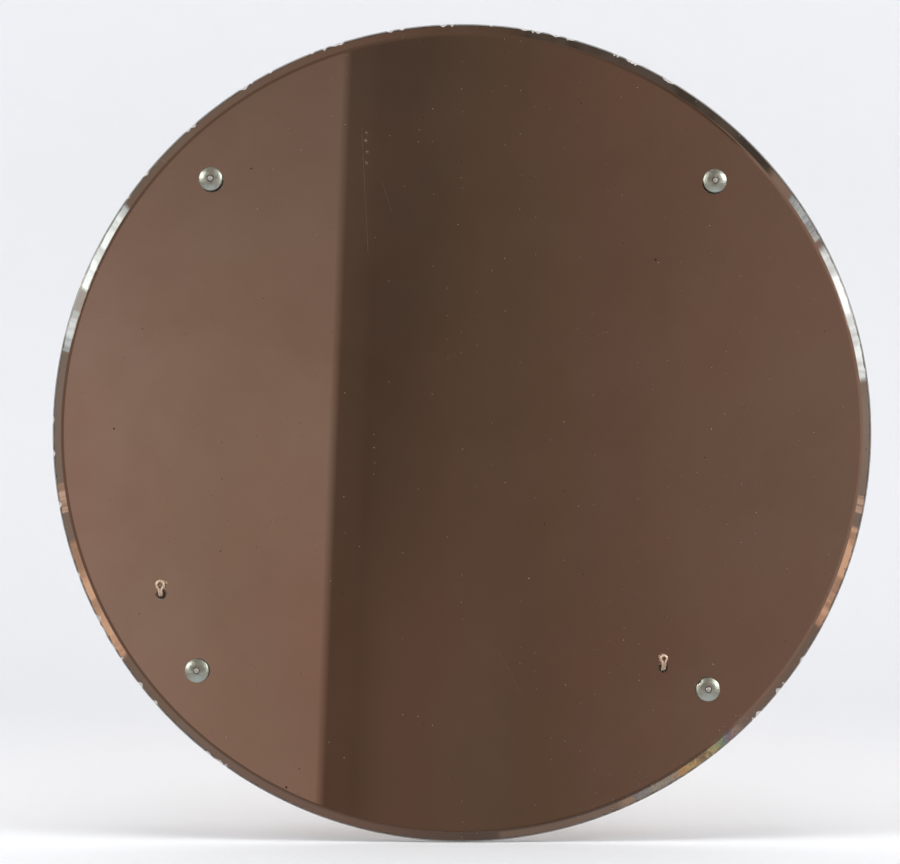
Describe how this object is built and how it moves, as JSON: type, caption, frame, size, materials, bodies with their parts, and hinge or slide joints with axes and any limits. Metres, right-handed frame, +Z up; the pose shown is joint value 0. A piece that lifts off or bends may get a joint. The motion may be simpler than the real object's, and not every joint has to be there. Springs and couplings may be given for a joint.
{
  "type": "wall mirror",
  "caption": "Flat, frameless round wall mirror with a bevelled edge, domed mirror screws, split-pin eyes on its face, a plywood back and ring hangers.",
  "frame": {"origin": "centre of the backing board's rear face, behind the middle of the glass", "axes": "the mirror faces -Y, +Y points to the wall, +Z is up and +X is the viewer's right"},
  "size_m": [0.5079, 0.0281, 0.508],
  "materials": {
    "bevelled_glass": "clear polished plate with a faint green tint, worn and chipped at the rim",
    "silvering": "silvered, tarnished at the rim",
    "plywood": "aged birch plywood, thin old shellac",
    "cap_metal": "turned, lightly oxidised",
    "stud_metal": "bright riveted end",
    "screw_brass": "dull",
    "fibre_washer": "red-brown vulcanised fibre",
    "sleeve_rubber": "matt",
    "fibre_spacer": "red-brown vulcanised fibre",
    "split_pin_brass": "aged, coppery, rubbed bright on the eye",
    "washer_brass": "dull",
    "strap_steel": "zinc plated, dulled, rust freckles at the edges",
    "ring_steel": "nickel plated wire",
    "hanger_screw_steel": "zinc plated pan heads",
    "buffer_rubber": "matt black, dusty",
    "nail_steel": "plain steel"
  },
  "bodies": {
    "mirror": {"glass_plate": "bevelled_glass", "silver_layer": "silvering", "backing_board": "plywood", "dome_cap_upper_left": "cap_metal", "dome_cap_upper_right": "cap_metal", "dome_cap_lower_left": "cap_metal", "dome_cap_lower_right": "cap_metal", "cap_stud_upper_left": "stud_metal", "cap_stud_upper_right": "stud_metal", "cap_stud_lower_left": "stud_metal", "cap_stud_lower_right": "stud_metal", "mirror_screw_upper_left": "screw_brass", "mirror_screw_upper_right": "screw_brass", "mirror_screw_lower_left": "screw_brass", "mirror_screw_lower_right": "screw_brass", "front_washer_upper_left": "fibre_washer", "front_washer_upper_right": "fibre_washer", "front_washer_lower_left": "fibre_washer", "front_washer_lower_right": "fibre_washer", "hole_sleeve_upper_left": "sleeve_rubber", "hole_sleeve_upper_right": "sleeve_rubber", "hole_sleeve_lower_left": "sleeve_rubber", "hole_sleeve_lower_right": "sleeve_rubber", "rear_spacer_upper_left": "fibre_spacer", "rear_spacer_upper_right": "fibre_spacer", "rear_spacer_lower_left": "fibre_spacer", "rear_spacer_lower_right": "fibre_spacer", "pin_washer_left": "washer_brass", "pin_washer_right": "washer_brass", "hanger_strap_left": "strap_steel", "hanger_strap_right": "strap_steel", "hanger_screws_left": "hanger_screw_steel", "hanger_screws_right": "hanger_screw_steel", "wall_buffer_upper_left": "buffer_rubber", "wall_buffer_upper_right": "buffer_rubber", "wall_buffer_lower_left": "buffer_rubber", "wall_buffer_lower_right": "buffer_rubber", "buffer_nails": "nail_steel"},
    "left_pin": {"split_pin_left": "split_pin_brass"},
    "right_pin": {"split_pin_right": "split_pin_brass"},
    "left_ring": {"hanger_ring_left": "ring_steel"},
    "right_ring": {"hanger_ring_right": "ring_steel"}
  },
  "joints": [
    {"name": "left_pin_swivel", "type": "hinge", "parent": "mirror", "child": "left_pin", "pos_m": [-0.18596, -0.0168, -0.10181], "axis": [0, -1, 0], "continuous": true},
    {"name": "right_pin_swivel", "type": "hinge", "parent": "mirror", "child": "right_pin", "pos_m": [0.12483, -0.0168, -0.14719], "axis": [0, -1, 0], "continuous": true},
    {"name": "left_ring_swing", "type": "hinge", "parent": "mirror", "child": "left_ring", "pos_m": [-0.15, 0.0029, 0.13], "axis": [1, 0, 0], "range_deg": [0, 180]},
    {"name": "right_ring_swing", "type": "hinge", "parent": "mirror", "child": "right_ring", "pos_m": [0.15, 0.0029, 0.13], "axis": [1, 0, 0], "range_deg": [0, 180]}
  ]
}
